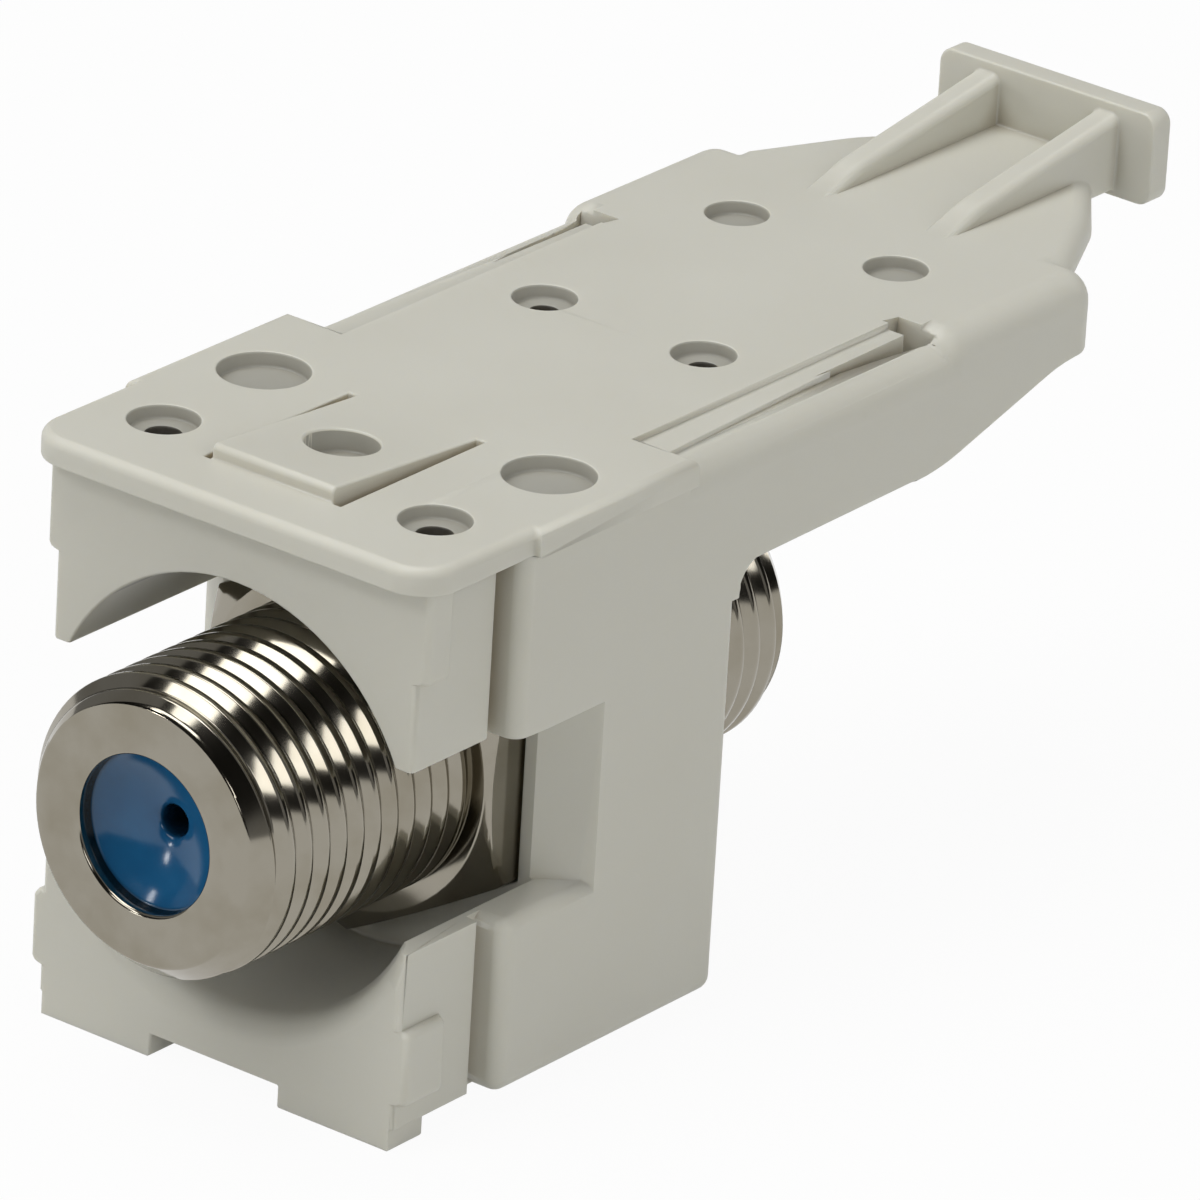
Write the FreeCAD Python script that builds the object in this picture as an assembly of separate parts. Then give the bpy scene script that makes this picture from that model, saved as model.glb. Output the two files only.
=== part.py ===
"""Snap-in F-connector coupler module: a threaded barrel coupler held in a one-piece moulded frame.

Millimetres. X runs to the right, Y from the front to the back, Z up. The origin lies on the
barrel's axis, in the plane of the frame's front face.
"""
import FreeCAD, Part
import math
import os

V = FreeCAD.Vector
ACROSS = V(1, 0, 0)
BACK = V(0, 1, 0)
UP = V(0, 0, 1)

# Slack for telling apart edges and points that coincide
margin = 0.001

# Barrel: 3/8-32 thread at both ends and a hex collar between them
thread_radius = 4.72
barrel_front_y = -3.83
barrel_length = 25.5
end_chamfer = 0.63
end_taper = 1.15
collar_front_y = 5.5
collar_length = 2.6
collar_wall = 0.835
collar_chamfer = 0.6
hex_face_inset = 0.2
mouth_radius = 2.49
mouth_lip = 0.6
barrel_bore_radius = 3.2

# Inserts, contact and end ring inside the barrel
slide_clearance = 0.02
end_ring_length = 1.0
funnel_depth = 0.85
funnel_rim = 0.05
pin_hole_radius = 0.5
contact_radius = 0.95
contact_wall = 0.25
contact_end_wall = 1.0
contact_slot = 0.3
contact_slot_length = 4.5

# Nut and toothed washer behind the bulkhead
nut_wall = 0.835
nut_thickness = 2.4
nut_chamfer = 0.5
washer_width = 1.18
washer_thickness = 0.55
washer_tooth_length = 0.75
washer_tooth_count = 12
washer_tooth_gap = 0.8
thread_clearance = 0.08

# Frame: front flange and main block
flange_step = 0.76
flange_length = 3.95
flange_corner = 0.2
groove_width = 0.4
groove_depth = 0.45
block_half_width = 7.64
block_rear_y = 14.5
block_corner = 0.5
block_bottom_z = -8.65
block_bottom_round = 0.5
plug_room = 2.18
bulkhead_front_y = 7.0
bulkhead_rear_y = 10.0
window_half_height = 2.95
window_slant_x = 6.1
window_slant_depth = 1.15
collar_clearance = 0.06
barrel_clearance = 0.15
nut_clearance = 0.34
cradle_flare_width = 0.9
sill_round = 0.4

# Feet below the flange and pads on its sides
foot_inner_x = 2.46
foot_inset = 0.17
foot_length = 1.6
foot_drop = 0.73
pad_stand = 0.37
pad_round = 0.25
upper_pad_z = 5.8
upper_pad_length = 1.2
lower_pad_low_z = -7.8
lower_pad_high_z = -5.4
lower_pad_length = 1.9

# Deck: the slab on top of the block, with its tooth and round dimples
deck_top_z = 9.75
deck_thickness = 0.88
deck_front_y = -0.8
deck_front_half_width = 7.7
deck_front_corner = 1.4
deck_wide_y = 4.2
deck_wide_half_width = 7.93
deck_wide_end_y = 11.75
deck_edge_round = 0.32
tooth_half_width = 2.3
tooth_front_y = 1.45
tooth_rear_y = 8.2
tooth_height = 0.48
tooth_round = 0.2
tooth_slit = 0.3
tooth_slit_depth = 0.5
hole_step = 0.45
front_hole_x = 5.17
front_hole_y = 2.68
front_hole_radius = 1.1
front_core_radius = 0.55
front_core_depth = 3.6
tooth_dimple_y = 4.69
tooth_dimple_radius = 1.15
tooth_dimple_depth = 0.55
wide_dimple_x = 5.45
wide_dimple_y = 7.67
wide_dimple_radius = 1.42
wide_dimple_depth = 0.5
plate_hole_x = 3.06
plate_hole_y = 18.16
plate_hole_radius = 1.0
plate_core_radius = 0.45
tail_dimple_x = 3.08
tail_dimple_y = 27.74
tail_dimple_radius = 1.0
tail_dimple_depth = 0.45

# Plate behind the slab, with a lower ledge along each side
plate_half_width = 5.55
plate_thickness = 1.3
ledge_drop = 0.22
ledge_front_half_width = 6.6
ledge_rear_half_width = 6.15
ledge_end_y = 24.1
slot_start_y = 19.6
slot_end_y = 24.7
slot_start_x = 6.2
slot_end_x = 6.85
slot_inner_x = 5.4
slot_depth = 2.4

# Wings: side arms that carry the deck back past the block
wing_wall = 1.3
wing_top_z = 9.35
wing_low_z = 5.4
wing_rear_y = 32.3
wing_rear_low_z = 7.2
wing_cap_y = 24.3
wing_taper_start_y = 24.3
wing_taper_start_round = 8.0
wing_taper_end_y = 30.4
wing_taper_end_z = 7.1
wing_taper_end_round = 6.0
wing_root_round = 1.1
wing_round = 1.0
wing_edge_round = 1.15

# Tail: thin tapered plate with two rising ribs and the finger bar, measured from the wings' rear
tail_thickness = 0.85
tail_edge_round = 0.7
tail_root_half_width = 6.4
tail_mid_length = 3.4
tail_mid_half_width = 4.75
tail_mid_round = 4.0
tail_neck_length = 6.3
tail_neck_half_width = 2.6
tail_neck_round = 0.8
tail_length = 7.2
bar_thickness = 0.9
bar_half_width = 4.2
bar_low_z = 8.66
bar_top_z = 11.75
bar_round = 0.5
rib_lead = 1.7
rib_knee_length = 1.9
rib_knee_z = 10.35
rib_knee_round = 4.0
rib_top_z = 11.4
rib_inner_x = 1.83
rib_thickness = 1.0
rib_edge_round = 0.3


def corner_wire(corners, place):
    """Closed wire through corners (u, v, radius), each rounded by its own radius."""
    points = [(V(u, v, 0), radius) for u, v, radius in corners]
    ends = []
    for i, (corner, radius) in enumerate(points):
        to_last = (points[i - 1][0] - corner).normalize()
        to_next = (points[(i + 1) % len(points)][0] - corner).normalize()
        half = to_last.getAngle(to_next) / 2
        run = radius / math.tan(half)
        middle = corner + (to_last + to_next).normalize() * (radius / math.sin(half) - radius)
        ends.append((corner + to_last * run, middle, corner + to_next * run, radius))
    edges = []
    for i, (first, middle, last, radius) in enumerate(ends):
        if radius:
            edges.append(Part.Arc(place(first), place(middle), place(last)).toShape())
        following = ends[(i + 1) % len(ends)][0]
        if (following - last).Length > margin:
            edges.append(Part.LineSegment(place(last), place(following)).toShape())
    return Part.Wire(edges)


def plan_prism(corners, low_z, high_z):
    """Solid from an outline in X and Y, between two heights."""
    wire = corner_wire(corners, lambda p: V(p.x, p.y, low_z))
    return Part.Face(wire).extrude(UP * (high_z - low_z))


def mirrored_plan(right_side, low_z, high_z):
    """Plan prism from the right side's corners, listed from the front to the back."""
    left_side = [(-x, y, radius) for x, y, radius in reversed(right_side)]
    return plan_prism(right_side + left_side, low_z, high_z)


def front_prism(corners, front_y, rear_y):
    """Solid from an outline in X and Z, between two places along Y."""
    wire = corner_wire(corners, lambda p: V(p.x, front_y, p.y))
    return Part.Face(wire).extrude(BACK * (rear_y - front_y))


def side_prism(corners, left_x, right_x):
    """Solid from an outline in Y and Z, between two places along X."""
    wire = corner_wire(corners, lambda p: V(left_x, p.x, p.y))
    return Part.Face(wire).extrude(ACROSS * (right_x - left_x))


def turned(profile, sweep=360):
    """Solid of revolution about the barrel's axis from corners (y, radius)."""
    wire = Part.makePolygon([V(radius, y, 0) for y, radius in profile + profile[:1]])
    return Part.Face(wire).revolve(V(0, 0, 0), BACK, sweep)


def rod(radius, front_y, rear_y):
    return Part.makeCylinder(radius, rear_y - front_y, V(0, front_y, 0), BACK)


def hex_reach(flats):
    """Distance from a hexagon's middle to its corners."""
    return flats / 2 / math.cos(math.pi / 6)


def hex_rod(flats, front_y, rear_y):
    """Hexagonal rod on the barrel's axis, with two flats upright."""
    reach = hex_reach(flats)
    corners = []
    for i in range(6):
        turn = math.pi / 6 + i * math.pi / 3
        corners.append((reach * math.cos(turn), reach * math.sin(turn), 0))
    return front_prism(corners, front_y, rear_y)


def chamfered_hex(flats, seat_y, outer_y, chamfer):
    """Hex rod whose corners are turned off at its outer end."""
    reach = hex_reach(flats)
    face = flats / 2 - hex_face_inset
    chamfer_y = outer_y - math.copysign(chamfer, outer_y - seat_y)
    limits = [(seat_y, 0), (seat_y, reach), (chamfer_y, reach), (outer_y, face), (outer_y, 0)]
    return hex_rod(flats, seat_y, outer_y).common(turned(limits))


def both_sides(shape):
    return shape.fuse(shape.mirror(V(0, 0, 0), ACROSS))


def top_edges(shape, height):
    """Edges of a shape that lie wholly at one height."""
    return [e for e in shape.Edges if abs(e.BoundBox.ZMin - height) < margin
            and abs(e.BoundBox.ZMax - height) < margin]


barrel_rear_y = barrel_front_y + barrel_length
collar_rear_y = collar_front_y + collar_length
collar_flats = 2 * (thread_radius + collar_wall)
nut_flats = 2 * (thread_radius + nut_wall)
washer_radius = thread_radius + washer_width
cavity_radius = thread_radius + plug_room
deck_low_z = deck_top_z - deck_thickness
ledge_z = deck_top_z - ledge_drop
tail_low_z = deck_top_z - tail_thickness
tail_mid_y = wing_rear_y + tail_mid_length
tail_neck_y = wing_rear_y + tail_neck_length
bar_front_y = wing_rear_y + tail_length
bar_rear_y = bar_front_y + bar_thickness
rib_start_y = wing_rear_y - rib_lead
rib_knee_y = rib_start_y + rib_knee_length
flange_half_width = block_half_width - flange_step
foot_outer_x = flange_half_width - foot_inset
wing_inner_x = block_half_width - wing_wall


def coupler_body():
    """Turned barrel with its hex collar, bored from the rear up to the front lip."""
    barrel = turned([
        (barrel_front_y, 0), (barrel_front_y, thread_radius - end_chamfer),
        (barrel_front_y + end_taper, thread_radius), (barrel_rear_y - end_taper, thread_radius),
        (barrel_rear_y, thread_radius - end_chamfer), (barrel_rear_y, 0)])
    collar = chamfered_hex(collar_flats, collar_rear_y, collar_front_y, collar_chamfer)
    mouth = rod(mouth_radius, barrel_front_y, barrel_front_y + mouth_lip)
    bore = rod(barrel_bore_radius, barrel_front_y + mouth_lip, barrel_rear_y)
    return barrel.fuse(collar).cut(mouth).cut(bore).removeSplitter()


insert_front_y = barrel_front_y + mouth_lip
insert_rear_y = barrel_rear_y - end_ring_length
insert_middle_y = (insert_front_y + insert_rear_y) / 2
insert_radius = barrel_bore_radius - slide_clearance
contact_front_y = insert_front_y + funnel_depth + contact_end_wall
contact_rear_y = insert_rear_y - funnel_depth - contact_end_wall


def front_insulator():
    """Moulded insert: a funnel leads the cable's pin through a small hole into the contact."""
    seat = contact_radius + slide_clearance
    return turned([
        (insert_front_y, insert_radius), (insert_front_y, mouth_radius - funnel_rim),
        (insert_front_y + funnel_depth, pin_hole_radius), (contact_front_y, pin_hole_radius),
        (contact_front_y, seat), (insert_middle_y, seat), (insert_middle_y, insert_radius)])


def rear_insulator():
    """The same insert, turned to face the rear."""
    return front_insulator().mirror(V(0, insert_middle_y, 0), BACK)


def center_contact():
    """Spring tube, slit crosswise at both ends into fingers."""
    tube = rod(contact_radius, contact_front_y, contact_rear_y)
    tube = tube.cut(rod(contact_radius - contact_wall, contact_front_y, contact_rear_y))
    for start in (contact_front_y, contact_rear_y - contact_slot_length):
        slit = Part.makeBox(2 * thread_radius, contact_slot_length, contact_slot,
                            V(-thread_radius, start, -contact_slot / 2))
        tube = tube.cut(slit)
        tube = tube.cut(slit.rotate(V(0, 0, 0), BACK, 90))
    return tube


def end_ring():
    """Ring pressed into the rear bore to keep the inserts in."""
    ring = rod(insert_radius, insert_rear_y, barrel_rear_y)
    return ring.cut(rod(mouth_radius, insert_rear_y, barrel_rear_y))


washer_rear_y = bulkhead_rear_y + washer_thickness
nut_rear_y = washer_rear_y + nut_thickness
nut_bore_radius = thread_radius + thread_clearance


def lock_washer():
    """Flat ring with inward teeth, parted by a ring of gaps."""
    ring = rod(washer_radius, bulkhead_rear_y, washer_rear_y)
    ring = ring.cut(rod(nut_bore_radius, bulkhead_rear_y, washer_rear_y))
    gap = Part.makeBox(nut_bore_radius + washer_tooth_length, washer_thickness, washer_tooth_gap,
                       V(0, bulkhead_rear_y, -washer_tooth_gap / 2))
    for i in range(washer_tooth_count):
        turned_gap = gap.copy()
        turned_gap.rotate(V(0, 0, 0), BACK, 360 * i / washer_tooth_count)
        ring = ring.cut(turned_gap)
    return ring


def hex_nut():
    nut = chamfered_hex(nut_flats, washer_rear_y, nut_rear_y, nut_chamfer)
    return nut.cut(rod(nut_bore_radius, washer_rear_y, nut_rear_y))


def frame_block():
    """Flange and block from one plan outline, with the feet and side pads."""
    front = [(flange_half_width, 0, flange_corner),
             (flange_half_width, flange_length - groove_width, 0),
             (flange_half_width - groove_depth, flange_length - groove_width, 0),
             (flange_half_width - groove_depth, flange_length, 0),
             (block_half_width, flange_length, block_corner)]
    head_low_z = wing_top_z - wing_edge_round
    block = mirrored_plan(front + [(block_half_width, block_rear_y, block_corner)],
                          block_bottom_z, head_low_z)
    lower_rear = [e for e in top_edges(block, block_bottom_z)
                  if e.BoundBox.YMin > block_rear_y - margin]
    block = block.makeFillet(block_bottom_round, lower_rear)
    head = mirrored_plan(front + [(block_half_width, deck_wide_end_y, 0), (wing_inner_x, deck_wide_end_y, 0),
                                  (wing_inner_x, block_rear_y, 0)], head_low_z, deck_low_z)
    foot = Part.makeBox(foot_outer_x - foot_inner_x, foot_length, foot_drop,
                        V(foot_inner_x, 0, block_bottom_z - foot_drop))
    pads = [side_pad(upper_pad_length, upper_pad_z, deck_low_z),
            side_pad(lower_pad_length, lower_pad_low_z, lower_pad_high_z)]
    return block.fuse([head, both_sides(foot)] + [both_sides(pad) for pad in pads])


def side_pad(length, low_z, high_z):
    """Low pad with rounded upright edges on the flange's right side, flush with its front."""
    stand_x = flange_half_width + pad_stand
    seat_x = flange_half_width - groove_depth
    return plan_prism([(seat_x, 0, 0), (stand_x, 0, flange_corner), (stand_x, length, pad_round),
                       (seat_x, length, 0)], low_z, high_z)


def frame_deck():
    """Slab over the block, plate and ledges behind it, and the thin tail."""
    front = mirrored_plan([(deck_front_half_width, deck_front_y, deck_front_corner),
                           (deck_front_half_width, deck_wide_end_y, 0)], deck_low_z, deck_top_z)
    front = front.makeFillet(deck_edge_round, top_edges(front, deck_top_z))
    wide = mirrored_plan([(deck_wide_half_width, deck_wide_y, 0),
                          (deck_wide_half_width, deck_wide_end_y, 0)], deck_low_z, deck_top_z)
    wide = wide.makeFillet(deck_edge_round, top_edges(wide, deck_top_z))
    plate = mirrored_plan([(plate_half_width, deck_wide_y, 0), (plate_half_width, wing_rear_y, 0)],
                          deck_top_z - plate_thickness, deck_top_z)
    ledge = mirrored_plan([(ledge_front_half_width, deck_wide_y, 0),
                           (ledge_front_half_width, deck_wide_end_y, 0),
                           (ledge_rear_half_width, ledge_end_y, 0)],
                          deck_top_z - plate_thickness, ledge_z)
    shoulder = mirrored_plan([(wing_inner_x, slot_end_y, 0), (wing_inner_x, wing_rear_y, 0)],
                             deck_top_z - plate_thickness, deck_top_z)
    rear = [e for e in top_edges(shoulder, deck_top_z) if e.BoundBox.YMin > wing_rear_y - margin]
    shoulder = shoulder.makeFillet(wing_round, rear)
    tail = mirrored_plan([(tail_root_half_width, rib_start_y, 0), (tail_root_half_width, wing_rear_y, 0),
                          (tail_mid_half_width, tail_mid_y, tail_mid_round),
                          (tail_neck_half_width, tail_neck_y, tail_neck_round),
                          (tail_neck_half_width, bar_front_y, 0)], tail_low_z, deck_top_z)
    sides = [e for e in top_edges(tail, deck_top_z) if e.BoundBox.YLength > margin]
    tail = tail.makeFillet(tail_edge_round, sides)
    return front.fuse([wide, plate, ledge, shoulder, tail])


def frame_wing():
    """Right wing: a side profile with a rounded outer edge, and the taller cap over its rear."""
    root_z = wing_low_z - wing_root_round
    profile = [(bulkhead_rear_y, root_z, 0), (block_rear_y, root_z, 0),
               (block_rear_y, wing_low_z, wing_root_round),
               (wing_taper_start_y, wing_low_z, wing_taper_start_round),
               (wing_taper_end_y, wing_taper_end_z, wing_taper_end_round),
               (wing_rear_y, wing_rear_low_z, 0), (wing_rear_y, wing_top_z, 0),
               (bulkhead_rear_y, wing_top_z, 0)]
    wing = side_prism(profile, wing_inner_x, block_half_width)
    rear = [e for e in outer_edges(wing) if e.BoundBox.YMin > wing_rear_y - margin]
    wing = wing.makeFillet(wing_round, rear)
    top = [e for e in outer_edges(wing) if e.BoundBox.ZMin > wing_top_z - margin]
    wing = wing.makeFillet(wing_edge_round, top)
    cap = plan_prism([(wing_inner_x, wing_cap_y, 0), (block_half_width, wing_cap_y, wing_round),
                      (block_half_width, wing_rear_y, wing_round), (wing_inner_x, wing_rear_y, 0)],
                     wing_top_z - wing_edge_round, deck_top_z)
    rim = [e for e in top_edges(cap, deck_top_z) if e.BoundBox.XMax > wing_inner_x + margin]
    return wing.fuse(cap.makeFillet(wing_round, rim))


def outer_edges(wing):
    """Edges of the right wing that lie wholly in its outer face."""
    return [e for e in wing.Edges if e.BoundBox.XMin > block_half_width - margin]


def tail_ribs():
    """Finger bar across the tail's end, and the two walls that rise to it."""
    bar = front_prism([(-bar_half_width, bar_low_z, bar_round), (bar_half_width, bar_low_z, bar_round),
                       (bar_half_width, bar_top_z, bar_round), (-bar_half_width, bar_top_z, bar_round)],
                      bar_front_y, bar_rear_y)
    rib = side_prism([(rib_start_y, tail_low_z, 0), (bar_front_y, tail_low_z, 0), (bar_front_y, rib_top_z, 0),
                      (rib_knee_y, rib_knee_z, rib_knee_round), (rib_start_y, deck_top_z, 0)],
                     rib_inner_x, rib_inner_x + rib_thickness)
    rising = [e for e in rib.Edges if e.BoundBox.XLength < margin and e.BoundBox.YLength > margin
              and e.BoundBox.ZMax > deck_top_z + margin]
    return bar.fuse(both_sides(rib.makeFillet(rib_edge_round, rising)))


def tooth():
    """Wedge on the deck: upright in front with a rounded edge, falling to the deck at the rear."""
    return side_prism([(tooth_front_y, deck_low_z, 0), (tooth_rear_y, deck_low_z, 0),
                       (tooth_rear_y, deck_top_z, 0), (tooth_front_y, deck_top_z + tooth_height, tooth_round)],
                      -tooth_half_width, tooth_half_width)


def deck_hole(x, y, radius, depth):
    """Round hole sunk from the deck, tall enough to clear the tooth."""
    return Part.makeCylinder(radius, depth + tooth_height, V(x, y, deck_top_z - depth))


def deck_cuts():
    """Slits beside the tooth, stepped holes and dimples, and the open slot beside each ledge."""
    slit = Part.makeBox(tooth_slit, tooth_rear_y - tooth_front_y, tooth_slit_depth + tooth_height,
                        V(tooth_half_width, tooth_front_y, deck_top_z - tooth_slit_depth))
    cuts = [slit,
            deck_hole(front_hole_x, front_hole_y, front_hole_radius, hole_step),
            deck_hole(front_hole_x, front_hole_y, front_core_radius, front_core_depth),
            deck_hole(0, tooth_dimple_y, tooth_dimple_radius, tooth_dimple_depth),
            deck_hole(wide_dimple_x, wide_dimple_y, wide_dimple_radius, wide_dimple_depth),
            deck_hole(plate_hole_x, plate_hole_y, plate_hole_radius, hole_step),
            deck_hole(plate_hole_x, plate_hole_y, plate_core_radius, plate_thickness),
            deck_hole(tail_dimple_x, tail_dimple_y, tail_dimple_radius, tail_dimple_depth)]
    cuts.append(plan_prism([(slot_start_x, slot_start_y, 0), (slot_end_x, slot_end_y, 0),
                            (slot_inner_x, slot_end_y, 0), (slot_inner_x, ledge_end_y, 0),
                            (ledge_rear_half_width, ledge_end_y, 0)],
                           deck_top_z - slot_depth, deck_top_z))
    return [both_sides(cut) for cut in cuts]


def cradle_flare():
    """Half ring that eases the cavity's front edge below the barrel, in two slopes that turn alike."""
    lip = cavity_radius + cradle_flare_width
    knee = cradle_flare_width / (1 + math.tan(math.pi / 3))
    return turned([(deck_front_y, cavity_radius), (deck_front_y, lip), (0, lip),
                   (knee, cavity_radius + knee), (cradle_flare_width, cavity_radius)], 180)


def block_cuts():
    """Front cavity with its flare, side windows, collar seat, barrel hole and nut recess."""
    cavity = rod(cavity_radius, deck_front_y, bulkhead_front_y)
    reach = 2 * block_half_width
    slope = window_slant_depth / (block_half_width - window_slant_x)
    windows = mirrored_plan([(reach, deck_front_y, 0),
                             (reach, bulkhead_front_y + slope * (reach - window_slant_x), 0),
                             (window_slant_x, bulkhead_front_y, 0)],
                            -window_half_height, window_half_height)
    seat = hex_rod(collar_flats + 2 * collar_clearance, bulkhead_front_y, collar_rear_y)
    hole = rod(thread_radius + barrel_clearance, collar_rear_y, bulkhead_rear_y)
    recess = rod(hex_reach(nut_flats) + nut_clearance, bulkhead_rear_y, block_rear_y)
    return [cavity, cradle_flare(), windows, seat, hole, recess]


def module_frame():
    """The frame: one moulding from block, deck, wings, tail and tooth."""
    frame = frame_block().fuse([frame_deck(), both_sides(frame_wing()), tail_ribs(), tooth()])
    frame = frame.cut(deck_cuts() + block_cuts()).removeSplitter()
    return frame.makeFillet(sill_round, window_sills(frame))


def window_sills(frame):
    """Lower outer edges of the side windows, on the block's sides."""
    return [e for e in top_edges(frame, -window_half_height)
            if abs(abs(e.CenterOfMass.x) - block_half_width) < margin]


os.makedirs("parts", exist_ok=True)
for make in (module_frame, coupler_body, front_insulator, rear_insulator, center_contact,
             end_ring, lock_washer, hex_nut):
    solid = make()
    if len(solid.Solids) == 1:
        solid = solid.Solids[0]
    print(make.__name__, solid.ShapeType, solid.isValid(), round(solid.Volume, 2))
    solid.exportStep("parts/" + make.__name__ + ".step")
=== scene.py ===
# %% [markdown]
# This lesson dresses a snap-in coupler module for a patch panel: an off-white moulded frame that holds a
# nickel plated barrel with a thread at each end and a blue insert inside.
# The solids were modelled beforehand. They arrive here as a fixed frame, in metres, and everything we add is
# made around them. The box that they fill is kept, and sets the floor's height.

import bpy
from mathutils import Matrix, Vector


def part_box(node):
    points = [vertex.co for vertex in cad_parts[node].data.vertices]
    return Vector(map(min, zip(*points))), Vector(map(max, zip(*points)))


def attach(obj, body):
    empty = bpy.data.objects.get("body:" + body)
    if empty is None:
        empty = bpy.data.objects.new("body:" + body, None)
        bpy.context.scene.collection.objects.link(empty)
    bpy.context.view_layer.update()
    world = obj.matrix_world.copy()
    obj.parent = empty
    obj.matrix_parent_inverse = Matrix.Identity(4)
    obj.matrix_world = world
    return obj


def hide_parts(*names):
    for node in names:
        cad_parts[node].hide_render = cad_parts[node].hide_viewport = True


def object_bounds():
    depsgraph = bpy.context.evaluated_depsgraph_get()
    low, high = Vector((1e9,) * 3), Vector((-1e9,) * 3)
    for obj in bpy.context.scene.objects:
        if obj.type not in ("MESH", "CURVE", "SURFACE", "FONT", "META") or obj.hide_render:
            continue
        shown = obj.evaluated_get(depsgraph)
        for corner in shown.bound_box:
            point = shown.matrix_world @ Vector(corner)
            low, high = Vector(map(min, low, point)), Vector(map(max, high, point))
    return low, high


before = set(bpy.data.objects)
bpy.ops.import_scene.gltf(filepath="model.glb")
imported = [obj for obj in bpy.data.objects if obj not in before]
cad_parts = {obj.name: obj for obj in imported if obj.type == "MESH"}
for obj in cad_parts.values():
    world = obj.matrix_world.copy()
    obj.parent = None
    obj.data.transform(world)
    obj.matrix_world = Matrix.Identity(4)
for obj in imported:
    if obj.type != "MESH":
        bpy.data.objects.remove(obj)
cad_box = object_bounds()
print("solids:", ", ".join(sorted(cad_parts)))

# %% [markdown]
# Blender counts in metres and this part is the size of a thumb, so one constant turns millimetres to metres.
# Sizes of the part are named in millimetres, and sizes of the studio in metres.
# The barrel lies on the Y axis with its face towards -Y, the deck of the frame is up, and X runs across.

# %% Units and modules
import math
import bmesh
import bpy
from mathutils import Matrix, Vector
from mathutils.bvhtree import BVHTree
from mathutils.kdtree import KDTree

MM = 0.001
print("one millimetre is", MM, "Blender units")

# %% [markdown]
# A moulded or machined edge is never sharp: it has a tiny round that catches a line of light. The solids
# carry the large rounds, and the small ones are cut here on a copy of the mesh.
# A Bevel modifier could cut them too, but it can't be told where to stop when two edges come too close.
# The solids arrive as loose triangles, so the copy is welded first. Flat areas are then joined into single
# faces, so that the bevel meets clean edges and not the seams between triangles.

# %% Weld a copy of a solid
WELD = 0.008
FLAT_DEG = 0.4


def welded(node):
    """A bmesh copy of a solid, closed, with its flat areas joined."""
    bm = bmesh.new()
    bm.from_mesh(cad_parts[node].data)
    bmesh.ops.remove_doubles(bm, verts=bm.verts, dist=WELD * MM)
    bmesh.ops.dissolve_limit(bm, angle_limit=math.radians(FLAT_DEG), verts=bm.verts, edges=bm.edges)
    bmesh.ops.recalc_face_normals(bm, faces=bm.faces)
    return bm


print("welded frame:", len(welded("module_frame").faces), "faces")

# %% [markdown]
# A bevel folds over itself where two edges lie closer together than its width. We look for that afterwards:
# a face has folded if it stands off the solid's skin by a good share of the width, or turns its back on it.

# %% Find the folds of a bevel
STRAY_SHARE = 0.6
TURNED_AWAY = -0.2


def folded(bm, skin, width):
    """Faces of a bevelled mesh that stand off the solid's skin or face the wrong way."""
    for face in bm.faces:
        normal, gap = skin.find_nearest(face.calc_center_median())[1::2]
        stray = max(skin.find_nearest(v.co)[3] for v in face.verts)
        if stray > STRAY_SHARE * width or (gap < width and face.normal.dot(normal) < TURNED_AWAY):
            yield face


print("a face folds when it strays by", STRAY_SHARE, "of the bevel's width")

# %% [markdown]
# So the bevel is tried, and each fold marks the corners beside it. Those corners stay sharp at the next try,
# until a try shows no fold. On the real moulding they are the ones too small to see. The specks of faces
# that a bevel can leave at a corner are dissolved at the end.

# %% Round the sharp edges
SHARP_DEG = 28
SPECK = 0.002


def softened(start, edge_mm, sharp_deg=SHARP_DEG, chosen=lambda edge: True):
    """A copy of a mesh with its chosen sharp edges rounded wherever the round doesn't fold."""
    skin = BVHTree.FromBMesh(start)
    corners = KDTree(len(start.verts))
    for i, vertex in enumerate(start.verts):
        corners.insert(vertex.co, i)
    corners.balance()
    stay_sharp = set()
    while True:
        bm = start.copy()
        bm.verts.index_update()
        edges = [e for e in bm.edges if e.is_manifold and e.calc_face_angle() > math.radians(sharp_deg)
                 and chosen(e) and not stay_sharp & {v.index for v in e.verts}]
        bmesh.ops.bevel(bm, geom=edges, offset=edge_mm * MM, offset_type="OFFSET", affect="EDGES",
                        segments=2, profile=0.5, material=-1, clamp_overlap=False, loop_slide=True)
        bm.normal_update()
        found = {corners.find(v.co)[1] for f in folded(bm, skin, edge_mm * MM) for v in f.verts}
        if found <= stay_sharp:
            print("edges rounded by", edge_mm, "mm:", len(edges), "corners left sharp:", len(stay_sharp))
            start.free()
            bmesh.ops.dissolve_degenerate(bm, dist=SPECK * MM, edges=bm.edges)
            return bm
        stay_sharp |= found
        bm.free()


# %% [markdown]
# Every piece ends the same way: its mesh becomes an object at the origin, is shaded smooth with real corners
# kept crisp, rides on the part's one body, and stands for the solid that it was made from.
# Smooth shading would bend the light on a flat face towards the rounds at its rim. Weighting each corner's
# normal by the area of its faces keeps the large flat ones flat.

# %% Turn a bmesh into a piece
CRISP_DEG = 40


def piece(name, bm, material, node, slot, crisp_deg=CRISP_DEG):
    """Makes the object with its material and hides the solid that it stands for."""
    mesh = bpy.data.meshes.new(name)
    bm.to_mesh(mesh)
    bm.free()
    mesh.shade_smooth()
    mesh.set_sharp_from_angle(angle=math.radians(crisp_deg))
    mesh.materials.append(material)
    made = bpy.data.objects.new(name, mesh)
    bpy.context.scene.collection.objects.link(made)
    made.modifiers.new("flat_faces_stay_flat", "WEIGHTED_NORMAL").keep_sharp = True
    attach(made, "root")
    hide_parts(node)
    print(name, len(mesh.polygons), "faces")


# %% [markdown]
# Colours are written as sRGB hex values, as a colour picker shows them, and shaders want linear light.
# One small function adds a node with its settings and its links. A link is given as the socket that feeds
# it, and anything else is set on the node's own socket.

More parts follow.
